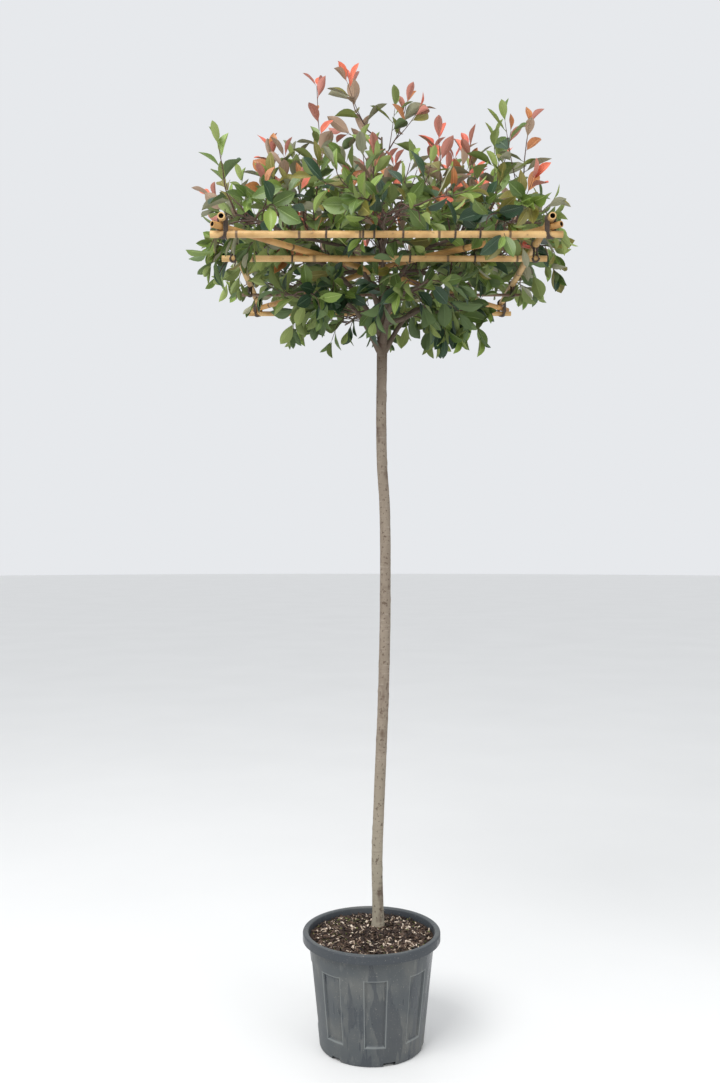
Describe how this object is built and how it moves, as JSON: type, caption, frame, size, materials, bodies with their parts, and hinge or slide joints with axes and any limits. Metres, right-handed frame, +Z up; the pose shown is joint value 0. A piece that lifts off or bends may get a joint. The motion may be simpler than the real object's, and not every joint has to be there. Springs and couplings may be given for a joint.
{
  "type": "potted photinia standard tree with a square crown on a bamboo frame",
  "caption": "Evergreen photinia grown as a tall standard in a nursery pot, its flat square crown of glossy leaves and red shoots tied on a bamboo frame.",
  "frame": {"origin": "middle of the pot's flat underside, on the ground", "axes": "+Z up along the stem, the front of the tree faces -Y, +X to the viewer's right"},
  "size_m": [1.3406, 1.3999, 3.4799],
  "materials": {
    "pot_plastic": "satin",
    "potting_soil": "matte",
    "bark": "matte",
    "leaves": "satin",
    "bamboo": "satin"
  },
  "bodies": {
    "root": {"pot": "pot_plastic", "soil": "potting_soil", "stem": "bark", "bough_upper_1": "bark", "bough_upper_2": "bark", "bough_upper_3": "bark", "bough_upper_4": "bark", "bough_upper_5": "bark", "bough_upper_6": "bark", "bough_upper_7": "bark", "bough_upper_8": "bark", "bough_lower_1": "bark", "bough_lower_2": "bark", "bough_lower_3": "bark", "bough_lower_4": "bark", "foliage_upper_1": "leaves", "foliage_upper_2": "leaves", "foliage_upper_3": "leaves", "foliage_upper_4": "leaves", "foliage_upper_5": "leaves", "foliage_upper_6": "leaves", "foliage_upper_7": "leaves", "foliage_upper_8": "leaves", "foliage_lower_1": "leaves", "foliage_lower_2": "leaves", "foliage_lower_3": "leaves", "foliage_lower_4": "leaves", "foliage_top": "leaves", "frame_bar_front": "bamboo", "frame_bar_fore": "bamboo", "frame_bar_aft": "bamboo", "frame_bar_back": "bamboo", "frame_brace_under": "bamboo", "frame_brace_over": "bamboo", "frame_side_left": "bamboo", "frame_side_right": "bamboo"}
  },
  "joints": []
}
